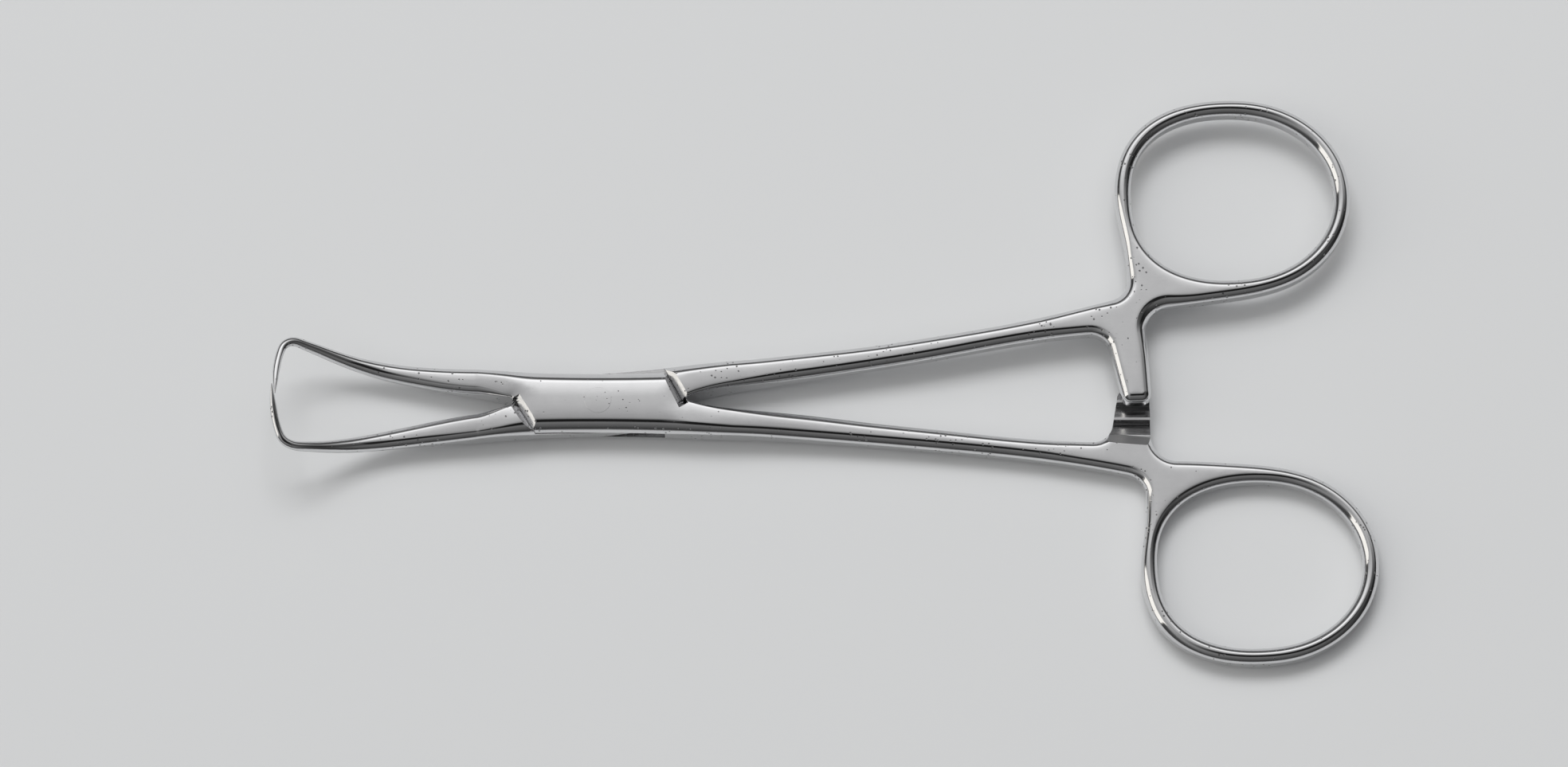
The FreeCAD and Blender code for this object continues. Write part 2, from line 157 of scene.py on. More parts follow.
# Ratchet bars
bar_inner_x = 61.4
bar_outer_x = 66.2
bar_inner_slope = 0.2
bar_outer_slope = 0.03
bar_overhang = {female: -0.2, male: 2.5}
bar_shoulder_rise = 0.9
tooth_pitch = 2.2
tooth_depth = 0.75
tooth_crest = 0.3
tooth_drop = 0.3
tooth_count = 3
first_crest_y = -4.05
ratchet_turn = -2.0
tooth_clearance = 0.08
ratchet_ramp_foot = 5.67
ratchet_ramp_length = 1.3
ratchet_ramp_turn = 7.0

# Rounds of the outline
web_shoulder_rise = 3.05
web_near_drop = 1.15
web_round = 2.7
bar_round_inner = 2.4
bar_round_outer = 3.2
bar_end_round = 1.15
box_end_round = 1.3
crotch_round = 0.35

# Jaws
jaw_root_x = -14.5
jaw_root_thickness = 3.7
jaw_root_rise = 0.05
jaw_root_slope = 0.11
jaw_root_flare = 0.15
jaw_root_step = 0.41
jaw_crotch_y = 0.45
male_jaw_breadths = (1.04, 1.08, 1.08, 1.08, 1.05)
lean_from_x = -4.0
lean_steady_x = -10.0
lean_at_crotch = 0.36
lean_at_points = 1.3
lean_growth = 2.2
points_pass = 0.19
needle_from_x = -35.0
needle_blend = 2.0

# Plan of each shank, from the crotch to the web: x, inner y, outer y
shank_edges = {
    female: (
        (14.3, 1.12, 4.50),
        (18.0, 1.54, 4.71),
        (24.0, 2.15, 5.22),
        (32.0, 3.30, 6.06),
        (41.0, 4.55, 7.13),
        (50.5, 5.90, 8.42),
    ),
    male: (
        (14.3, 1.12, 4.53),
        (18.0, 1.48, 4.70),
        (24.0, 2.03, 5.13),
        (32.0, 2.90, 5.74),
        (41.0, 4.05, 6.76),
        (50.5, 5.47, 8.08),
    ),
}

# Jaw centre line and section: x, y, z, half width, half height
jaw_stations = (
    (-18.3, 3.21, 2.46, 1.40, 1.45),
    (-22.1, 3.76, 2.60, 1.18, 1.20),
    (-26.0, 4.43, 2.90, 1.01, 1.02),
    (-29.0, 5.06, 3.62, 0.87, 0.88),
    (-31.6, 5.65, 4.78, 0.75, 0.76),
    (-33.6, 6.10, 6.00, 0.67, 0.68),
    (-35.2, 6.40, 7.05, 0.60, 0.61),
    (-36.55, 6.45, 7.85, 0.55, 0.55),
    (-37.5, 5.90, 8.25, 0.51, 0.51),
    (-38.0, 4.90, 8.50, 0.47, 0.47),
    (-38.3, 3.70, 8.78, 0.45, 0.45),
    (-38.5, 2.40, 9.05, 0.41, 0.41),
    (-38.6, 1.10, 9.32, 0.30, 0.30),
    (-38.64, 0.10, 9.52, 0.16, 0.16),
    (-38.64, -0.60, 9.65, 0.05, 0.05),
)

# Section of a jaw: the half widths where it starts to turn round and where it is round, and the
# largest share of it that the flanks take
needle_starts = 1.15
needle_round = 0.75
jaw_flank_limit = 0.97

# How finely the surfaces are divided
edge_step = 0.35
jaw_step = 0.22
root_count = 5
arc_turn = 9.0
corner_gap = 0.05
crown_insets = (0.22, 0.5, 0.85, 1.3, 1.9, 2.6)
sparse_inset = 0.6
crown_point_spare = 0.02
root_spare = 0.25
block_size = 400
smooth_angle = 24.0
face_weight = 60

# Steel: noises scaled per millimetre, streaks per metre
blue_share = 1.012
cloud_scale = 0.35
cloud_tint = 0.94
grain_scale = 9.0
streak_scale = (160, 2600, 2600)
noise_low = 0.3
noise_high = 0.7
patch_scale = 0.22
patch_low = 0.42
patch_high = 0.60
pit_scale = 1.6
pit_size = 0.22
pit_rim = 0.05
pit_depth = 0.012
pit_darkness = 0.6
pit_roughness = 0.3
edge_softness = 0.05
edge_samples = 6

# The room as the steel mirrors it: degrees from straight above, towards south or east, and how
# bright it is there
room_north_south = (
    (-180, 0.5), (-92, 0.4), (-88, 0.12), (-62, 0.10), (-52, 0.6), (-44, 1.3), (-28, 1.3),
    (-23, 0.95), (-18, 0.64), (-12, 0.5), (-7, 0.33), (-2, 0.1), (2, 0.015), (31, 0.008),
    (34, 0.16), (50, 0.19), (68, 0.12), (84, 0.03), (92, 0.4), (180, 0.5),
)
room_west_east = (
    (-180, 0.5), (-92, 0.4), (-84, 0.03), (-64, 0.05), (-52, 0.35), (-25, 0.5), (-8, 0.35),
    (-2, 0.12), (4, 0.02), (26, 0.02), (30, 0.09), (54, 0.07), (66, 0.015), (88, 0.015),
    (92, 0.4), (180, 0.5),
)

# A small bright window: degrees from west towards south, and from straight above
window_azimuth = (-18, 22)
window_off = (40, 84)
window_edge = 1
window_colour = (1.25, 1.22, 1.15, 1)

# Floor, a hair under the clamp
floor_drop = 0.01
floor_reach = 600.0
floor_colour = (0.78, 0.79, 0.80, 1)
floor_roughness = 0.7

# Lamps, in metres and watts
lamp_target = (0.03, 0, 0)
key_place = (-0.1, 0.62, 1.15)
key_size = (0.7, 0.5)
key_power = 5.5
fill_place = (0.03, -0.1, 1.4)
fill_size = (2.2, 2.2)
fill_power = 6.0

# The photograph: the lens, and the angle and place it was taken from
sensor_width = 36.0
focal_length = 161.8
camera_tilt = 17.0
camera_turn = -2.0
camera_place = Vector((13.78, -246.39, 815.21))
clip_near = 10.0
clip_far = 20000.0


# Curves


def end_slope(times, points, end):
    """Direction and speed at one end, 0 or -1, of a run of points, from its four end points."""
    count = min(4, len(points))
    picked = list(range(len(points)))
    picked = picked[:count] if end == 0 else picked[-count:]
    t = times[end]
    total = np.zeros(points.shape[1])
    for i in picked:
        others = [j for j in picked if j != i]
        slope = 0.0
        for left_out in others:
            product = 1.0
            for j in others:
                if j != left_out:
                    product *= t - times[j]
            slope += product
        scale = 1.0
        for j in others:
            scale *= times[i] - times[j]
        total += points[i] * slope / scale
    return total


def smooth_curve(points, first=None, last=None, step=edge_step):
    """Dense points on the smooth cubic curve through the given points.

    First and last are its directions at the ends, where they are given.
    """
    points = np.array(points, float)
    gaps = np.linalg.norm(np.diff(points, axis=0), axis=1)
    times = np.concatenate([[0], np.cumsum(gaps)])
    n = len(points)
    matrix = np.zeros((n, n))
    right = np.zeros(points.shape)
    for end, direction in ((0, first), (-1, last)):
        matrix[end, end] = 1
        right[end] = end_slope(times, points, end)
        if direction is not None:
            direction = np.array(direction, float)
            right[end] = direction * np.abs(right[end]).sum() / np.abs(direction).sum()
    for i in range(1, n - 1):
        before, after = gaps[i - 1], gaps[i]
        matrix[i, i - 1] = after
        matrix[i, i] = 2 * (before + after)
        matrix[i, i + 1] = before
        right[i] = 3 * (
            (points[i] - points[i - 1]) * after / before
            + (points[i + 1] - points[i]) * before / after
        )
    slopes = np.linalg.solve(matrix, right)
    dense = []
    for i in range(n - 1):
        count = max(2, int(math.ceil(gaps[i] / step)))
        for k in range(count):
            s = k / count
            a = 2 * s**3 - 3 * s**2 + 1
            b = s**3 - 2 * s**2 + s
            c = -2 * s**3 + 3 * s**2
            d = s**3 - s**2
            dense.append(
                a * points[i] + b * gaps[i] * slopes[i] + c * points[i + 1] + d * gaps[i] * slopes[i + 1]
            )
    dense.append(points[-1])
    return np.array(dense)


def straight(first, last):
    """Evenly spaced points on a straight edge."""
    first, last = np.array(first, float), np.array(last, float)
    count = max(1, int(math.ceil(np.linalg.norm(last - first) / edge_step)))
    return first + (last - first) * np.linspace(0, 1, count + 1)[:, None]


def nearest_on(line, point):
    """Distance from a point to a line of points, the place on it and the index of its stretch."""
    a, b = line[:-1], line[1:]
    along = b - a
    share = ((point - a) * along).sum(1) / np.maximum((along * along).sum(1), 1e-12)
    foot = a + along * np.clip(share, 0, 1)[:, None]
    distance = np.linalg.norm(point - foot, axis=1)
    i = int(np.argmin(distance))
    return distance[i], foot[i], i


def rounded_corner(before, after, radius):
    """Two edges that meet in a corner, cut back and joined with an arc of the given radius."""
    arriving = before[-1] - before[-2]
    leaving = after[1] - after[0]
    turn = math.copysign(1.0, arriving[0] * leaving[1] - arriving[1] * leaving[0])
    gaps = np.linalg.norm(np.diff(before, axis=0), axis=1)
    length = np.concatenate([[0], np.cumsum(gaps)])

    def centre_at(back):
        at = length[-1] - back
        i = min(len(gaps) - 1, max(0, int(np.searchsorted(length, at)) - 1))
        point = before[i] + (before[i + 1] - before[i]) * (at - length[i]) / gaps[i]
        along = (before[i + 1] - before[i]) / gaps[i]
        return point, point + radius * turn * np.array((-along[1], along[0])), i

    near, far = 0.0, min(length[-1] * 0.999, 6 * radius)
    for _ in range(50):
        middle = (near + far) / 2
        if nearest_on(after, centre_at(middle)[1])[0] < radius:
            near = middle
        else:
            far = middle
    start, centre, i = centre_at(far)
    _, end, j = nearest_on(after, centre)
    a = math.atan2(start[1] - centre[1], start[0] - centre[0])
    b = math.atan2(end[1] - centre[1], end[0] - centre[0])
    sweep = (b - a) * turn % (2 * math.pi) * turn
    count = max(4, int(abs(sweep) / math.radians(arc_turn)), int(abs(sweep) * radius / edge_step))
    arc = [
        centre + radius * np.array((math.cos(a + sweep * k / count), math.sin(a + sweep * k / count)))
        for k in range(count + 1)
    ]
    cut_before = [p for p in before[: i + 1] if np.linalg.norm(p - start) > corner_gap]
    cut_after = [p for p in after[j + 1 :] if np.linalg.norm(p - end) > corner_gap]
    return np.array(cut_before), np.array(arc), np.array(cut_after)


# Form of the clamp


def share_of_way(x, first, last):
    return max(0.0, min(1.0, (x - first) / (last - first)))


def smooth_share(values):
    """Eased step: 0 below 0 and 1 above 1."""
    share = np.clip(values, 0.0, 1.0)
    return share * share * (3 - 2 * share)


def lean(x):
    """Sideways lean of both jaws: a step at the box, then a growing bend to the points."""
    step = share_of_way(x, lean_from_x, lean_steady_x)
    bend = share_of_way(x, lean_steady_x, jaw_stations[-1][0])
    return lean_at_crotch * smooth_share(step) + (lean_at_points - lean_at_crotch) * bend**lean_growth


def handle_lift(side):
    return male_handle_lift if side == male else 0.0


def jaw_root_half_width():
    return jaw_stations[0][3] + jaw_root_flare


def jaw_root_y():
    return jaw_stations[0][1] - jaw_root_step


def ring_points(side, first, last, wire):
    """Points of a finger ring seen from above: its hole, or the outer edge one wire further out."""
    points = []
    for i in range(ring_steps + 1):
        turn = math.radians(first + (last - first) * i / ring_steps)
        fullness = ring_fullness_outside if math.cos(turn) > 0 else ring_fullness_inside
        along = abs(math.cos(turn)) ** (2 / fullness) * (ring_hole_half_length + wire)
        across = abs(math.sin(turn)) ** (2 / fullness) * (ring_hole_half_width[side] + wire)
        x = ring_x[side] + math.copysign(along, math.cos(turn))
        y = ring_y[side] + math.copysign(across, math.sin(turn))
        points.append((x, side * y))
    return points


def ring_hole(side):
    """Dense closed edge of the hole of a ring."""
    lap = ring_points(side, 0, 360, 0)[:-1]
    overlap = 4
    points = lap[-overlap:] + lap + lap[: overlap + 1]
    run = smooth_curve(points)
    per_gap = [0]
    for a, b in zip(points[:-1], points[1:]):
        per_gap.append(per_gap[-1] + max(2, int(math.ceil(math.dist(a, b) / edge_step))))
    return run[per_gap[overlap] : per_gap[overlap + len(lap)]]


def outline(side):
    """Dense open edge of a half seen from above, from the far side of the jaw root to the near side."""

    def at(x, y):
        return (x, side * y)

    def jaw_at(x, y):
        return (x, side * y + lean(x))

    root_half = jaw_root_half_width()
    root_y = jaw_root_y()
    box_far = smooth_curve(
        [
            jaw_at(jaw_root_x, -root_y - root_half),
            jaw_at(-box_flat_reach, -box_broad_half_width_jaw),
            at(0, -box_half_width),
            at(shoulder_reach_ring, -box_narrow_half_width),
            at(crotch_reach_ring, -box_narrow_half_width),
        ]
    )
    crotch = at(crotch_reach_ring, crotch_half_gap)
    overhang = bar_overhang[side]
    bar_top_y = shank_edges[side][-1][1] + bar_shoulder_rise
    ring_near_y = ring_y[side] - ring_hole_half_width[side] - ring_wire
    ring_end_x = ring_x[side] - ring_hole_half_length - ring_wire
    web_near_y = ring_near_y - web_near_drop
    inner = [crotch]
    inner += [at(x, y) for x, y, outer_y in shank_edges[side]]
    inner += [at(bar_inner_x, bar_top_y)]
    tip_inner = at(bar_inner_x + bar_inner_slope * (bar_top_y + overhang), -overhang)
    tip_outer = at(bar_outer_x + bar_outer_slope * (web_near_y + overhang), -overhang)
    bar_foot = at(bar_outer_x, web_near_y)
    ring = ring_points(side, ring_leaves_web, ring_joins_web, ring_wire)
    under = at(ring_x[side] - web_under_inset, ring_near_y - web_under_drop)
    web_side = at(ring_end_x + web_side_inset, ring_y[side] - web_side_drop)
    corner = at(ring_end_x + web_corner_inset, shank_edges[side][-1][2] + web_shoulder_rise)
    into_corner = (corner[0] - web_side[0], corner[1] - web_side[1])
    outer = [corner]
    outer += [at(x, y) for x, inner_y, y in reversed(shank_edges[side])]
    outer += [
        at(box_broad_x, box_broad_half_width),
        at(0, box_half_width),
        at(-shoulder_reach_jaw, box_narrow_half_width),
        at(-crotch_reach_jaw, box_narrow_half_width),
    ]
    jaw_crotch = jaw_at(-crotch_reach_jaw, -jaw_crotch_y)
    root_inner = jaw_at(jaw_root_x, -root_y + root_half)
    edges = [
        box_far,
        straight(box_far[-1], crotch),
        smooth_curve(inner),
        straight(inner[-1], tip_inner),
        straight(tip_inner, tip_outer),
        straight(tip_outer, bar_foot),
        smooth_curve([bar_foot, under] + ring + [web_side, corner], (1, 0), into_corner),
        smooth_curve(outer),
        straight(outer[-1], jaw_crotch),
        straight(jaw_crotch, root_inner),
    ]
    rounds = [box_end_round, crotch_round, bar_round_inner, bar_end_round, bar_end_round]
    rounds += [bar_round_outer, web_round, box_end_round, crotch_round]
    whole = edges[0]
    for edge, radius in zip(edges[1:], rounds):
        before, arc, after = rounded_corner(whole, edge, radius)
        whole = np.concatenate([before, arc, after])
    return whole


def elevation(side):
    """Underside and top of a half along X, as two functions."""
    low = handle_lift(side)
    high = low + handle_thickness
    middle = box_thickness / 2
    waist = middle + shank_waist_share * ((low + high) / 2 - middle)
    waist_half = shank_waist_thickness / 2
    root = middle + jaw_root_rise
    root_half = jaw_root_thickness / 2
    reach = box_flat_reach
    level = (1, 0)

    def profile(root_z, box_z, waist_z, handle_z, root_slope):
        jawwards = [(jaw_root_x, root_z), (-reach, box_z)]
        ringwards = [(reach, box_z), (shank_waist_x, waist_z), (handle_level_x, handle_z)]
        before = smooth_curve(jawwards, (1, root_slope), level)
        run = np.concatenate([before, smooth_curve(ringwards, level, level)])
        return lambda x: np.interp(x, run[:, 0], run[:, 1])

    under_at = profile(root - root_half, 0, waist - waist_half, low, -jaw_root_slope)
    over_at = profile(root + root_half, box_thickness, waist + waist_half, high, jaw_root_slope)
    return under_at, over_at


def inward_normals(line, closed):
    """Unit normals to the left of a line of points."""
    ahead = np.roll(line, -1, axis=0) - line
    behind = np.roll(ahead, 1, axis=0)
    if not closed:
        ahead[-1] = ahead[-2]
        behind[0] = behind[1]
    ahead /= np.linalg.norm(ahead, axis=1)[:, None]
    behind /= np.linalg.norm(behind, axis=1)[:, None]
    along = ahead + behind
    along /= np.linalg.norm(along, axis=1)[:, None]
    return np.stack([-along[:, 1], along[:, 0]], 1)


def edge_distances(points, lines):
    """Distance from each point to the nearest of several lines of points."""
    best = np.full(len(points), np.inf)
    for line in lines:
        a, along = line[:-1], line[1:] - line[:-1]
        square = np.maximum((along * along).sum(1), 1e-12)
        for start in range(0, len(points), block_size):
            part = slice(start, start + block_size)
            block = points[part, None, :]
            share = np.clip(((block - a) * along).sum(2) / square, 0, 1)
            away = np.linalg.norm(block - a - along * share[:, :, None], axis=2).min(1)
            best[part] = np.minimum(best[part], away)
    return best


# Meshes


def box_share(x):
    """1 over the box and 0 over the shanks and jaws."""
    return smooth_share((crown_box_end - np.abs(x)) / crown_box_blend)


def crown(distance, x):
    """How far a polished face falls away towards its edge. The box is the most rounded."""
    share = box_share(x)
    width = crown_width + (box_crown_width - crown_width) * share
    drop = crown_drop + (box_crown_drop - crown_drop) * share
    return drop * np.maximum(0.0, 1.0 - distance / width) ** 2 + pin_proud * share


def arc_steps(first, last, width, steps):
    """How far in and down each of several equal turns goes, along an arc between two slopes."""
    low, high = math.radians(first), math.radians(last)
    radius = width / (math.sin(high) - math.sin(low))
    found = []
    for i in range(1, steps + 1):
        turn = low + (high - low) * i / steps
        found.append((radius * (math.sin(turn) - math.sin(low)), radius * (math.cos(low) - math.cos(turn))))
    return found


def flank_rows(roundness=0.0):
    """Inset and drop of each row of points round a flank, from the top face to the underside.

    A round edge, a broad slightly bulging facet, and a tight round into the upright side. Towards
    the needle points roundness turns this into a plain quarter ellipse. Both run from 0 to 1. The
    first half of the rows is measured from the top face and the second half from the underside.
    """
    run = [(0.0, 0.0)]
    for first, last, width, steps in flank_arcs:
        x, z = run[-1]
        run += [(x + across, z + down) for across, down in arc_steps(first, last, width, steps)]
    width, depth = run[-1]
    rows = []
    for i, (x, z) in enumerate(run):
        turn = math.pi / 2 * i / (len(run) - 1)
        facet = (1 - x / width, z / depth)
        ellipse = (1 - math.sin(turn), 1 - math.cos(turn))
        rows.append(tuple(f + (e - f) * roundness for f, e in zip(facet, ellipse)))
    return rows + rows[::-1]


def flank_share(line, side):
    """Width of the flank at each point of an edge, as a share of flank_width.

    Broadest along the box, a little broader along the shanks than round the rings, and fading
    out along the inner edges towards the two crotches. The male web has a broad hollow corner.
    """
    x, y = line[:, 0], side * line[:, 1]
    ringwards = x > 0
    box_end = np.where(ringwards, box_flank_end_ring, box_flank_end_jaw)
    box_blend = box_end - box_flank_reach
    box = smooth_share((box_end - np.abs(x)) / box_blend)
    shank = smooth_share((x - shank_flank_start) / shank_flank_blend)
    shank = shank * smooth_share((shank_flank_end - x) / shank_flank_blend)
    crotch = np.where(ringwards, crotch_reach_ring, crotch_reach_jaw)
    crotch_fade = np.where(ringwards, crotch_flank_fade_ring, crotch_flank_fade_jaw)
    beyond_crotch = np.abs(x) - crotch
    across = y * np.sign(x)
    inner = smooth_share((across - inner_edge_low) / inner_edge_blend_low)
    inner = inner * smooth_share((inner_edge_high - across) / inner_edge_blend_high)
    inner = inner * (beyond_crotch > crotch_flank_starts)
    fade = inner * (1 - smooth_share(beyond_crotch / crotch_fade))
    share = np.maximum(1 + (box_flank_share - 1) * box, 1 + (shank_flank_share - 1) * shank)
    if side == male:
        corner = np.hypot(x - web_hollow[0], y - web_hollow[1]) / web_hollow_reach
        share += (web_flank_share - 1) * (1 - smooth_share(corner))
    return share * (1 - fade * (1 - crotch_flank_share))


def flank_points(line, inward, share, under_at, over_at):
    """Grid of points round the flank of an edge: one column for each point of the edge."""
    grid = []
    rows = flank_rows()
    for r, (inset, drop) in enumerate(rows):
        away = inset * flank_width * share
        place = line + inward * away[:, None]
        fall = crown(away, place[:, 0]) + drop * flank_depth * share
        if r < len(rows) // 2:
            z = over_at(place[:, 0]) - fall
        else:
            z = under_at(place[:, 0]) + fall
        grid.append(np.column_stack([place, z]))
    return np.array(grid)


def inside(points, loop):
    """Which points lie inside a closed line of points."""
    found = np.zeros(len(points), bool)
    for a, b in zip(loop, np.roll(loop, -1, axis=0)):
        crosses = (a[1] > points[:, 1]) != (b[1] > points[:, 1])
        rise = b[1] - a[1] if b[1] != a[1] else 1e-12
        x = a[0] + (points[:, 1] - a[1]) * (b[0] - a[0]) / rise
        found ^= crosses & (points[:, 0] < x)
    return found


def forging_mesh(side):
    """Points and faces of a whole half before its lock and ratchet are cut."""
    edge = outline(side)
    hole = ring_hole(side)
    under_at, over_at = elevation(side)
    inward = side * inward_normals(edge, False)
    to_near = np.array((0.0, math.copysign(1.0, edge[-1][1] - edge[0][1])))
    inward[0] = to_near
    inward[-1] = -to_near
    hole_inward = -side * inward_normals(hole, True)
    share = flank_share(edge, side)
    hole_share = np.ones(len(hole))
    rim = flank_points(edge, inward, share, under_at, over_at)
    hole_rim = flank_points(hole, hole_inward, hole_share, under_at, over_at)
    reaches = flank_width * np.concatenate([share, hole_share])
    rows = rim.shape[0]
    count, hole_count = len(edge), len(hole)

    points = [rim.reshape(-1, 3), hole_rim.reshape(-1, 3)]
    faces = []

    def rim_index(r, i):
        return r * count + i

    def hole_index(r, i):
        return rows * count + r * hole_count + i % hole_count

    def add(face):
        faces.append(face[::-1] if side == female else face)

    for r in range(rows - 1):
        for i in range(count - 1):
            j = i + 1
            add((rim_index(r, i), rim_index(r + 1, i), rim_index(r + 1, j), rim_index(r, j)))
        for i in range(hole_count):
            j = i + 1
            add((hole_index(r, i), hole_index(r, j), hole_index(r + 1, j), hole_index(r + 1, i)))

    # Broad faces: the flat between the rims, filled with points that follow its crown
    flat_edge = rim[0][:, :2]
    flat_hole = hole_rim[0][:, :2]
    root_line = flat_edge[-1] + (flat_edge[0] - flat_edge[-1]) * (
        np.arange(1, root_count + 1)[:, None] / (root_count + 1)
    )
    lines = [edge, np.concatenate([hole, hole[:1]])]
    loop = np.concatenate([flat_edge, root_line])
    fill = []
    for inset in crown_insets:
        reach = reaches + inset
        places = np.concatenate([edge, hole]) + np.concatenate([inward, hole_inward]) * reach[:, None]
        away = edge_distances(places, lines)
        keep = (away > reach - crown_point_spare) & (places[:, 0] > jaw_root_x + root_spare)
        keep &= inside(places, loop) & ~inside(places, flat_hole)
        fill.append(places[keep][:: 1 if inset < sparse_inset else 2])
    fill = np.concatenate(fill)
    flat = np.concatenate([flat_edge, root_line, flat_hole, fill])
    loop_count = len(loop)
    borders = [(i, (i + 1) % loop_count) for i in range(loop_count)]
    borders += [(loop_count + i, loop_count + (i + 1) % hole_count) for i in range(hole_count)]
    result = delaunay_2d_cdt([Vector(p) for p in flat], borders, [], 1, 1e-7)
    places, triangles, origins = result[0], result[2], result[3]
    middles = np.array([np.mean([places[j] for j in tri], axis=0) for tri in triangles])
    wanted = ~inside(middles, flat_hole)
    away = edge_distances(flat, lines)

    base = rows * (count + hole_count)
    extra = np.concatenate([root_line, fill])
    extra_away = np.concatenate([away[count:loop_count], away[loop_count + hole_count :]])
    fall = crown(extra_away, extra[:, 0])
    top_z = over_at(extra[:, 0]) - fall
    bottom_z = under_at(extra[:, 0]) + fall
    points.append(np.column_stack([extra, top_z]))
    points.append(np.column_stack([extra, bottom_z]))

    def flat_index(j, top):
        row = 0 if top else rows - 1
        level = base if top else base + len(extra)
        if j < count:
            return rim_index(row, j)
        if j < loop_count:
            return level + (j - count)
        if j < loop_count + hole_count:
            return hole_index(row, j - loop_count)
        return level + root_count + (j - loop_count - hole_count)

    for triangle, good in zip(triangles, wanted):
        if not good:
            continue
        a, b, c = [origins[j][0] for j in triangle]
        if len({a, b, c}) < 3:
            continue
        area = (flat[b][0] - flat[a][0]) * (flat[c][1] - flat[a][1])
        area -= (flat[c][0] - flat[a][0]) * (flat[b][1] - flat[a][1])
        if area < 0:
            b, c = c, b
        faces.append(tuple(flat_index(j, True) for j in (a, b, c)))
        faces.append(tuple(flat_index(j, False) for j in (a, c, b)))

    # Jaw: sections that start on the root of the blank
    near = [rim_index(r, count - 1) for r in range(rows)]
    far = [rim_index(r, 0) for r in range(rows)]
    top_root = [base + k for k in range(root_count)]
    bottom_root = [base + len(extra) + k for k in range(root_count)]
    ring = near + bottom_root + far[::-1] + top_root[::-1]
    total = base + 2 * len(extra)
    sections, tip = jaw_sections(side)
    for section in sections:
        points.append(section)
        after = list(range(total, total + len(section)))
        total += len(section)
        for k in range(len(ring)):
            following = (k + 1) % len(ring)
            add((ring[k], ring[following], after[following], after[k]))
        ring = after
    points.append(np.array([tip]))
    for k in range(len(ring)):
        add((ring[k], ring[(k + 1) % len(ring)], total))
    return np.concatenate(points), faces


def jaw_sections(side):
    """Sections of a jaw after its root, each a ring of points, and the tip of its needle."""
    root = (
        jaw_root_x,
        -side * jaw_root_y() + lean(jaw_root_x),
        box_thickness / 2 + jaw_root_rise,
        jaw_root_half_width(),
        jaw_root_thickness / 2,
    )
    guide = [root]
    for k, (x, y, z, half_width, half_height) in enumerate(jaw_stations):
        aside = -side * points_pass * share_of_way(x, needle_from_x, needle_from_x - needle_blend)
        broader = male_jaw_breadths[k] if side == male and k < len(male_jaw_breadths) else 1.0
        guide.append((x + aside, -side * y + lean(x), z, half_width * broader, half_height))
    run = smooth_curve(guide, step=jaw_step)
    half_rows = len(flank_rows()) // 2
    near_hand = -side
    sections = []
    for k in range(1, len(run)):
        x, y, z, half_width, half_height = run[k]
        rows = flank_rows(share_of_way(half_width, needle_starts, needle_round))
        after = run[min(k + 1, len(run) - 1)][:3]
        along = Vector(after - run[k - 1][:3]).normalized()
        across = Vector((0, 0, 1)).cross(along).normalized()
        up = along.cross(across).normalized()
        round_width = min(flank_width, half_width * jaw_flank_limit)
        round_height = min(flank_depth, half_height * jaw_flank_limit)
        slim = min(1.0, half_width / jaw_root_half_width())

        def place(a, b):
            return tuple(Vector((x, y, z)) + across * a + up * b)

        def side_points(hand):
            found = []
            for r, (inset, drop) in enumerate(rows):
                a = half_width - inset * round_width
                b = half_height - drop * round_height - slim * crown(half_width - a, x)
                found.append(place(hand * a, b if r < half_rows else -b))
            return found

        def flat_points(level):
            found = []
            edge = half_width - round_width
            for i in range(1, root_count + 1):
                a = edge * (1 - 2 * i / (root_count + 1))
                b = half_height - slim * crown(half_width - abs(a), x)
                found.append(place(near_hand * a, level * b))
            return found

        ring = side_points(near_hand) + flat_points(-1)
        ring += side_points(-near_hand)[::-1] + flat_points(1)[::-1]
        sections.append(np.array(ring))
    return sections, run[-1][:3] + np.array(along) * run[-1][3]


# Cutters of the lock and the ratchet


def mesh_object(name, points, faces, material):
    mesh = bpy.data.meshes.new(name)
    mesh.from_pydata([tuple(np.array(p) * MM) for p in points], [], faces)
    mesh.validate()
    mesh.update()
    mesh.materials.append(material)
    made = bpy.data.objects.new(name, mesh)
    bpy.context.scene.collection.objects.link(made)
    return made


def drawn(first, last):
    """Closed solid between two like outlines in space."""
    count = len(first)
    points = [tuple(c) for c in first] + [tuple(c) for c in last]
    faces = [tuple(range(count))[::-1], tuple(range(count, 2 * count))]
    for i in range(count):
        j = (i + 1) % count
        faces.append((i, j, count + j, count + i))
    made = mesh_object("cutter", points, faces, ground_steel)
    shell = bmesh.new()
    shell.from_mesh(made.data)
    bmesh.ops.recalc_face_normals(shell, faces=shell.faces)
    shell.to_mesh(made.data)
    shell.free()
    return made


def extruded(corners, run):
    """Closed solid from a flat outline in space and the vector it is drawn out along."""
    corners = [Vector(c) for c in corners]
    return drawn(corners, [c + Vector(run) for c in corners])


def prism(corners, low, high):
    return extruded([(x, y, low) for x, y in corners], (0, 0, high - low))


def lock_line(end, hand, reach):
    """A slanted line across the box, as a function from y to x."""
    angle = math.radians(shoulder_angle)

    def x_at(y):
        return (end * reach - hand * y * math.sin(angle)) / math.cos(angle)

    return x_at


def beyond(end, hand, reach, line_stop, middle_stop):
    """What lies outside a slanted line of the box, on one side of the middle line."""
    x_at = lock_line(end, hand, reach)
    crotch_reach = crotch_reach_ring if end > 0 else crotch_reach_jaw
    far_y = end * hand * (box_broad_half_width + cutter_spare)
    far_x = end * (crotch_reach + cutter_spare)
    corners = (
        (x_at(far_y), far_y),
        (x_at(line_stop), line_stop),
        (end * crotch_reach, middle_stop),
        (far_x, middle_stop),
        (far_x, far_y),
    )
    return prism(corners, -cutter_spare, box_thickness + cutter_spare)


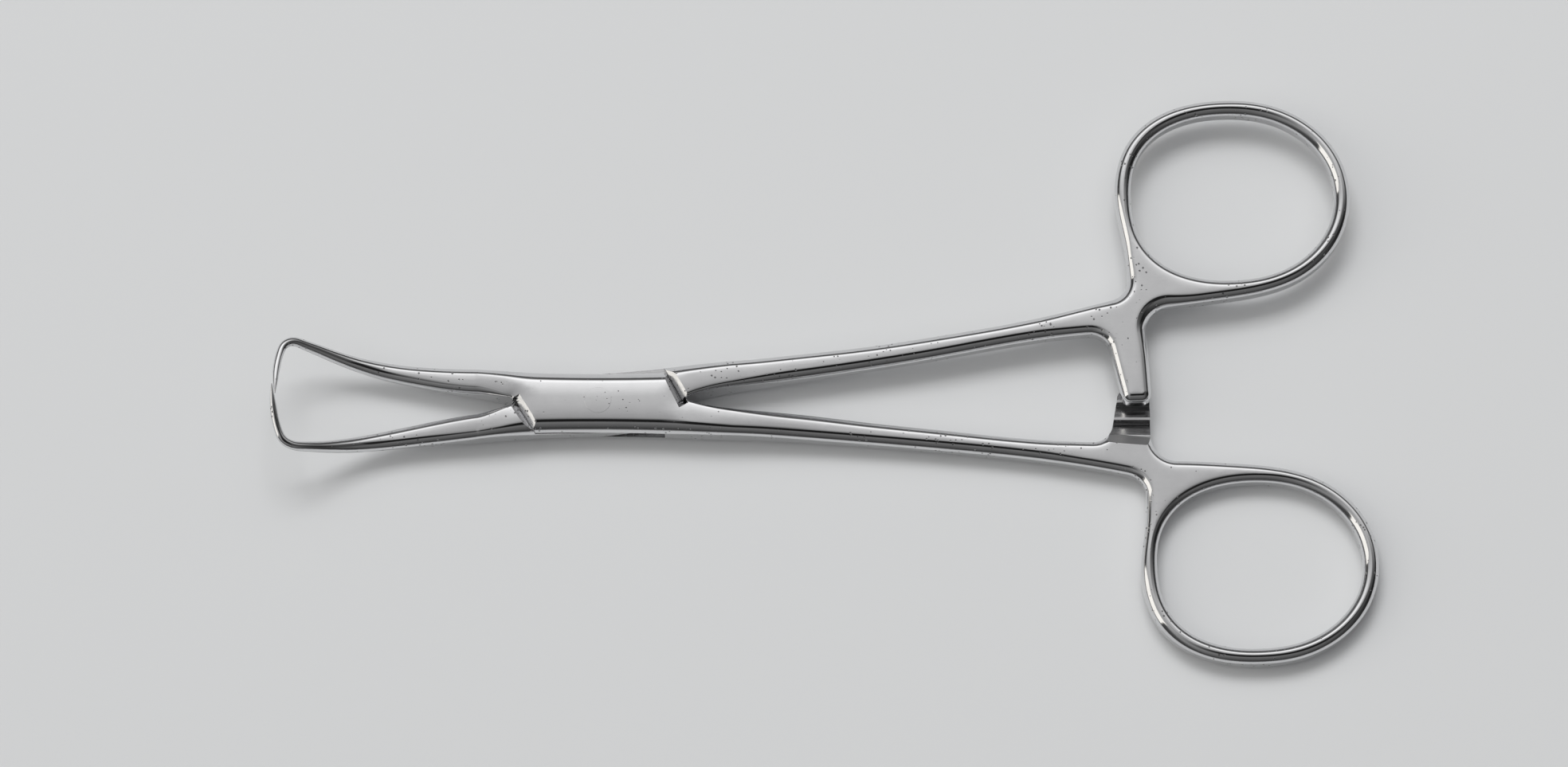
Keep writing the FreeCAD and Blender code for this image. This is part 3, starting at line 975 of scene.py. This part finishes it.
def between(hand, jaw_reach, ring_reach, low, high):
    """The part of the box between two slanted lines, over its whole width."""
    at_jaw = lock_line(-1, hand, jaw_reach)
    at_ring = lock_line(1, hand, ring_reach)
    far = box_broad_half_width + cutter_spare
    corners = ((at_jaw(far), far), (at_ring(far), far), (at_ring(-far), -far), (at_jaw(-far), -far))
    return prism(corners, low, high)


def groove(end, reach, outward, stop_y):
    """Cutters for the bevels, above and below, along one slanted edge.

    The ones that face the finger rings are the broader, and broaden towards the crotch.
    """
    angle = math.radians(shoulder_angle)
    normal = Vector((end * math.cos(angle), end * math.sin(angle), 0))
    along = Vector((-math.sin(angle), math.cos(angle), 0))
    start = Vector((lock_line(end, 1, reach)(stop_y), stop_y, 0))
    far = box_broad_half_width + cutter_spare
    broad = end == outward
    widths = (broad_bevel_crotch, broad_bevel_outside) if broad else (groove_bevel, groove_bevel)
    tilt = broad_bevel_tilt if broad else groove_bevel_tilt
    cutters = []
    for face_z, up in ((box_thickness, 1), (0.0, -1)):
        outlines = []
        for width, run in zip(widths, (0.0, far)):
            place = start + along * (end * run)
            depth = tilt * width
            steep = (depth + bevel_spare) / (width + bevel_spare)
            inner = place - normal * (outward * (width + bevel_spare / steep))
            outer = place + normal * (outward * bevel_spare)
            above = Vector((0, 0, face_z + up * bevel_spare))
            below = Vector((0, 0, face_z - up * (depth + bevel_spare * steep)))
            outlines.append((inner + above, outer + above, outer + below))
        cutters.append(drawn(*outlines))
    return cutters


def turned(made, pivot, degrees):
    pivot = Vector(pivot) * MM
    turn = Matrix.Rotation(math.radians(degrees), 4, "Z")
    made.data.transform(Matrix.Translation(pivot) @ turn @ Matrix.Translation(-pivot))
    return made


def ratchet_cutters(side):
    """Half of a ratchet bar's thickness, the spaces between its teeth and its ramp."""
    facing = -side
    ratchet_plane = (male_handle_lift + handle_thickness) / 2
    plane = ratchet_plane - facing * tooth_clearance / 2
    face_z = handle_lift(side) + (handle_thickness if side == female else 0.0)
    left = bar_inner_x - cutter_spare
    wide = Vector((bar_outer_x - bar_inner_x + 2 * cutter_spare, 0, 0))
    far = -side * (bar_overhang[male] + cutter_spare)
    foot = side * ratchet_ramp_foot
    top = foot + side * ratchet_ramp_length
    slope = (face_z - plane) / ratchet_ramp_length
    over_z = face_z + slope * cutter_spare
    ramp = (
        (left, far, plane),
        (left, foot, plane),
        (left, top + side * cutter_spare, over_z),
        (left, far, over_z),
    )
    cutter = turned(extruded(ramp, wide), (bar_inner_x, side * top, 0), side * ratchet_ramp_turn)
    cutter.data.materials[0] = milled_steel
    cutters = [cutter]
    deep = plane - facing * tooth_depth
    above = plane + facing * tooth_depth
    for index in range(tooth_count):
        crest = first_crest_y + index * tooth_pitch
        back = crest + side * tooth_crest / 2
        next_front = crest + side * (tooth_pitch - tooth_crest / 2)
        space = (
            (left, back, plane),
            (left, back + side * tooth_drop, deep),
            (left, next_front, plane),
            (left, (back + next_front) / 2, above),
        )
        cutters.append(turned(extruded(space, wide), (bar_outer_x, first_crest_y, 0), ratchet_turn))
    return cutters


def cylinder(radius, low, high):
    turns = [2 * math.pi * i / pin_turns for i in range(pin_turns)]
    return prism([(radius * math.cos(turn), radius * math.sin(turn)) for turn in turns], low, high)


def cut(piece, cutters):
    """Takes the cutters off a piece, one after the other, and keeps the result as its mesh."""
    for cutter in cutters:
        step = piece.modifiers.new("cut", "BOOLEAN")
        step.operation = "DIFFERENCE"
        step.solver = "EXACT"
        step.material_mode = "TRANSFER"
        step.object = cutter
        graph = bpy.context.evaluated_depsgraph_get()
        mesh = bpy.data.meshes.new_from_object(piece.evaluated_get(graph))
        piece.modifiers.clear()
        old = piece.data
        piece.data = mesh
        bpy.data.meshes.remove(old)
    for cutter in cutters:
        data = cutter.data
        bpy.data.objects.remove(cutter)
        bpy.data.meshes.remove(data)
    return piece


def polished(piece):
    """Smooth shading that breaks only at real edges, led by the large faces."""
    for face in piece.data.polygons:
        face.use_smooth = True
    piece.data.set_sharp_from_angle(angle=math.radians(smooth_angle))
    weigh = piece.modifiers.new("normals", "WEIGHTED_NORMAL")
    weigh.keep_sharp = True
    weigh.mode = "FACE_AREA_WITH_ANGLE"
    weigh.weight = face_weight
    return piece


def female_half():
    points, faces = forging_mesh(female)
    piece = mesh_object("female_forging", points, faces, polished_steel)
    at_jaw = lean(-crotch_reach_jaw)
    low = cheek_thickness
    high = box_thickness - cheek_thickness
    cutters = [
        beyond(1, 1, shoulder_reach_ring, -groove_end_ring_y, -parting_half_gap),
        beyond(-1, 1, shoulder_reach_jaw, at_jaw + groove_end_jaw_y, at_jaw + parting_half_gap),
        between(-1, shoulder_reach_jaw, shoulder_reach_ring, low, high),
    ]
    cutters += groove(1, shoulder_reach_ring, 1, -groove_end_ring_y)
    cutters += groove(-1, shoulder_reach_jaw, 1, at_jaw + groove_end_jaw_y)
    cutters += ratchet_cutters(female)
    return polished(cut(piece, cutters))


def male_half():
    points, faces = forging_mesh(male)
    piece = mesh_object("male_forging", points, faces, polished_steel)
    at_jaw = lean(-crotch_reach_jaw)
    low = cheek_thickness + slot_play
    high = box_thickness - cheek_thickness - slot_play
    jaw_reach = shoulder_reach_jaw + shoulder_gap
    ring_reach = shoulder_reach_ring + shoulder_gap
    cutters = [
        between(1, jaw_reach, ring_reach, -cutter_spare, low),
        between(1, jaw_reach, ring_reach, high, box_thickness + cutter_spare),
        beyond(1, -1, shoulder_reach_ring - slot_wall_gap, parting_half_gap, parting_half_gap),
        beyond(-1, -1, shoulder_reach_jaw - slot_wall_gap, -slot_wall_gap, at_jaw - parting_half_gap),
        cylinder(pin_radius + pin_running_fit, -bore_spare, box_thickness + bore_spare),
    ]
    cutters += groove(1, ring_reach, -1, 0.0)
    cutters += groove(-1, jaw_reach, -1, at_jaw)
    cutters += ratchet_cutters(male)
    return polished(cut(piece, cutters))


def pin():
    """Pin whose ends are ground to the same rounded faces as the box."""
    under_at, over_at = elevation(female)
    turns = pin_turns
    radii = pin_rings + (pin_radius,)
    angles = np.arange(turns) * 2 * math.pi / turns
    circles = [np.column_stack([r * np.cos(angles), r * np.sin(angles)]) for r in radii]
    plan = np.concatenate([np.zeros((1, 2))] + circles)
    fall = crown(edge_distances(plan, [outline(female)]), plan[:, 0]) - pin_proud
    top = np.column_stack([plan, over_at(plan[:, 0]) - fall])
    bottom = np.column_stack([plan, under_at(plan[:, 0]) + fall])
    points = np.concatenate([top, bottom])
    half = len(plan)
    faces = []
    for i in range(turns):
        j = (i + 1) % turns
        faces.append((0, 1 + i, 1 + j))
        faces.append((half, half + 1 + j, half + 1 + i))
        for k in range(len(radii) - 1):
            inner, outer = 1 + k * turns, 1 + (k + 1) * turns
            faces.append((inner + i, outer + i, outer + j, inner + j))
            faces.append((half + inner + j, half + outer + j, half + outer + i, half + inner + i))
        rim = 1 + (len(radii) - 1) * turns
        faces.append((rim + i, half + rim + i, half + rim + j, rim + j))
    return polished(mesh_object("pin", points, faces, polished_steel))


# Materials


class Nodes:
    """Short names for making and joining shader nodes."""

    def __init__(self, tree):
        self.tree = tree

    def add(self, kind, **settings):
        node = self.tree.nodes.new(kind)
        for name, value in settings.items():
            setattr(node, name, value)
        return node

    def join(self, source, target):
        self.tree.links.new(source, target)

    def math(self, operation, a, b=0.0):
        node = self.add("ShaderNodeMath", operation=operation)
        for socket, value in zip(node.inputs, (a, b)):
            if isinstance(value, (int, float)):
                socket.default_value = value
            else:
                self.join(value, socket)
        return node.outputs[0]

    def spread(self, value, low, high, to_low, to_high):
        node = self.add("ShaderNodeMapRange")
        self.join(value, node.inputs["Value"])
        node.inputs["From Min"].default_value = low
        node.inputs["From Max"].default_value = high
        node.inputs["To Min"].default_value = to_low
        node.inputs["To Max"].default_value = to_high
        return node.outputs["Result"]

    def noise(self, place, scale, detail, rough):
        node = self.add("ShaderNodeTexNoise")
        self.join(place, node.inputs["Vector"])
        node.inputs["Scale"].default_value = scale
        node.inputs["Detail"].default_value = detail
        node.inputs["Roughness"].default_value = rough
        return node.outputs["Fac"]

    def stretched(self, place, scale, turn=0.0):
        node = self.add("ShaderNodeMapping")
        self.join(place, node.inputs["Vector"])
        node.inputs["Scale"].default_value = scale
        node.inputs["Rotation"].default_value = (0, 0, math.radians(turn))
        return node.outputs["Vector"]

    def ramp(self, value, stops):
        node = self.add("ShaderNodeValToRGB")
        self.join(value, node.inputs["Fac"])
        marks = node.color_ramp.elements
        while len(marks) < len(stops):
            marks.new(0.5)
        for mark, (place, level) in zip(marks, stops):
            mark.position = place
            mark.color = (level, level, level, 1)
        return node.outputs["Color"]


def steel(name, base, roughness, grain, streaks, streak_turn=0.0):
    """Stainless steel with polishing lines and small pits. Grain and streaks are their heights."""
    material = bpy.data.materials.new(name)
    material.use_nodes = True
    nodes = Nodes(material.node_tree)
    shader = material.node_tree.nodes["Principled BSDF"]
    shader.inputs["Metallic"].default_value = 1.0
    place = nodes.add("ShaderNodeTexCoord").outputs["Object"]
    millimetres = nodes.stretched(place, (1 / MM, 1 / MM, 1 / MM))
    lines = nodes.stretched(place, streak_scale, streak_turn)
    cloud = nodes.noise(millimetres, cloud_scale, 4.0, 0.6)
    fine = nodes.noise(millimetres, grain_scale, 3.0, 0.6)
    scratch = nodes.noise(lines, 1.0, 4.0, 0.65)

    # Small pits, thickest in patches
    pits = nodes.add("ShaderNodeTexVoronoi")
    nodes.join(millimetres, pits.inputs["Vector"])
    pits.inputs["Scale"].default_value = pit_scale
    pits.inputs["Randomness"].default_value = 1.0
    patch = nodes.noise(millimetres, patch_scale, 2.0, 0.5)
    patch = nodes.spread(patch, patch_low, patch_high, 0.0, 1.0)
    pit = nodes.math("SUBTRACT", nodes.math("MULTIPLY", patch, pit_size), pits.outputs["Distance"])
    pit = nodes.spread(pit, 0.0, pit_rim, 0.0, 1.0)

    tint = nodes.spread(cloud, noise_low, noise_high, cloud_tint, 1.0)
    tint = nodes.math("SUBTRACT", tint, nodes.math("MULTIPLY", pit, pit_darkness))
    tone = nodes.add("ShaderNodeMix", data_type="RGBA", blend_type="MULTIPLY")
    tone.inputs["Factor"].default_value = 1.0
    tone.inputs["A"].default_value = (base, base, base * blue_share, 1)
    nodes.join(tint, tone.inputs["B"])
    nodes.join(tone.outputs["Result"], shader.inputs["Base Color"])

    rough = nodes.spread(scratch, noise_low, noise_high, *roughness)
    rough = nodes.math("ADD", rough, nodes.math("MULTIPLY", pit, pit_roughness))
    nodes.join(rough, shader.inputs["Roughness"])

    height = nodes.math("MULTIPLY", fine, grain)
    height = nodes.math("ADD", height, nodes.math("MULTIPLY", scratch, streaks))
    height = nodes.math("SUBTRACT", height, nodes.math("MULTIPLY", pit, pit_depth))
    edge = nodes.add("ShaderNodeBevel", samples=edge_samples)
    edge.inputs["Radius"].default_value = edge_softness * MM
    bump = nodes.add("ShaderNodeBump")
    bump.inputs["Distance"].default_value = MM
    bump.inputs["Strength"].default_value = 1.0
    nodes.join(height, bump.inputs["Height"])
    nodes.join(edge.outputs["Normal"], bump.inputs["Normal"])
    nodes.join(bump.outputs["Normal"], shader.inputs["Normal"])
    return material


polished_steel = steel("polished_steel", 0.76, (0.05, 0.11), grain=0.0007, streaks=0.0010)
ground_steel = steel("ground_steel", 0.70, (0.12, 0.26), grain=0.005, streaks=0.010, streak_turn=62.0)
milled_steel = steel("milled_steel", 0.66, (0.30, 0.44), grain=0.003, streaks=0.012, streak_turn=90.0)


# Scene


def camera():
    """Camera at the photograph's viewing angle, a little in front of straight above."""
    data = bpy.data.cameras.new("camera")
    data.sensor_width = sensor_width
    data.lens = focal_length
    data.clip_start = clip_near * MM
    data.clip_end = clip_far * MM
    holder = bpy.data.objects.new("camera", data)
    turn = Matrix.Rotation(math.radians(camera_turn), 4, "Z")
    tilt = Matrix.Rotation(math.radians(camera_tilt), 4, "X")
    holder.matrix_world = Matrix.Translation(camera_place * MM) @ turn @ tilt
    bpy.context.scene.collection.objects.link(holder)
    bpy.context.scene.camera = holder


def floor():
    material = bpy.data.materials.new("floor")
    material.use_nodes = True
    shader = material.node_tree.nodes["Principled BSDF"]
    shader.inputs["Base Color"].default_value = floor_colour
    shader.inputs["Roughness"].default_value = floor_roughness
    reach = floor_reach
    corners = [(-reach, -reach), (reach, -reach), (reach, reach), (-reach, reach)]
    corners = [(x, y, -floor_drop) for x, y in corners]
    plate = mesh_object("floor", corners, [(0, 1, 2, 3)], material)


def area_light(name, place, size, power):
    """Soft lamp that lights the floor but isn't mirrored in the steel."""
    data = bpy.data.lights.new(name, "AREA")
    data.shape = "RECTANGLE"
    data.size, data.size_y = size
    data.energy = power
    lamp = bpy.data.objects.new(name, data)
    direction = Vector(lamp_target) - Vector(place)
    turn = direction.to_track_quat("-Z", "Y").to_matrix().to_4x4()
    lamp.matrix_world = Matrix.Translation(place) @ turn
    lamp.visible_glossy = False
    bpy.context.scene.collection.objects.link(lamp)


def studio():
    """Light of the room as the steel mirrors it, and soft lamps for the floor and its shadow."""
    world = bpy.data.worlds.new("studio")
    bpy.context.scene.world = world
    world.use_nodes = True
    nodes = Nodes(world.node_tree)
    split = nodes.add("ShaderNodeSeparateXYZ")
    nodes.join(nodes.add("ShaderNodeTexCoord").outputs["Generated"], split.inputs["Vector"])
    x, y, z = split.outputs

    def around(across):
        turn = nodes.math("ARCTAN2", across, z)
        return nodes.math("ADD", nodes.math("DIVIDE", turn, 2 * math.pi), 0.5)

    def stops(levels):
        return [(0.5 + degrees / 360, level) for degrees, level in levels]

    def mixed(share, first):
        node = nodes.add("ShaderNodeMix", data_type="RGBA")
        nodes.join(share, node.inputs["Factor"])
        nodes.join(first, node.inputs["A"])
        return node

    def between_degrees(turn, first, last):
        turn = nodes.math("MULTIPLY", turn, 180 / math.pi)
        after = nodes.spread(turn, first - window_edge, first, 0, 1)
        return nodes.math("MULTIPLY", after, nodes.spread(turn, last, last + window_edge, 1, 0))

    # Towards north and south one run of light counts, and towards west and east the other
    south = nodes.math("MULTIPLY", y, -1.0)
    east_square = nodes.math("MULTIPLY", x, x)
    level = nodes.math("ADD", east_square, nodes.math("MULTIPLY", y, y))
    level = nodes.math("DIVIDE", east_square, nodes.math("ADD", level, 1e-5))
    room = mixed(level, nodes.ramp(around(south), stops(room_north_south)))
    nodes.join(nodes.ramp(around(x), stops(room_west_east)), room.inputs["B"])

    azimuth = nodes.math("ARCTAN2", south, nodes.math("MULTIPLY", x, -1.0))
    window = between_degrees(azimuth, *window_azimuth)
    off = between_degrees(nodes.math("ARCCOSINE", z), *window_off)
    lit = mixed(nodes.math("MULTIPLY", window, off), room.outputs["Result"])
    lit.inputs["B"].default_value = window_colour
    back = world.node_tree.nodes["Background"]
    nodes.join(lit.outputs["Result"], back.inputs["Color"])
    back.inputs["Strength"].default_value = 1.0

    area_light("key", key_place, key_size, key_power)
    area_light("fill", fill_place, fill_size, fill_power)


for piece, node, rides, slot in (
    (female_half(), "female_half", "female", "polished_steel"),
    (male_half(), "male_half", "male", "polished_steel"),
    (pin(), "pivot_pin", "female", "pin_steel"),
):
    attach(piece, rides)
    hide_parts(node)
floor()
studio()
camera()
bpy.context.scene.view_settings.view_transform = "Standard"
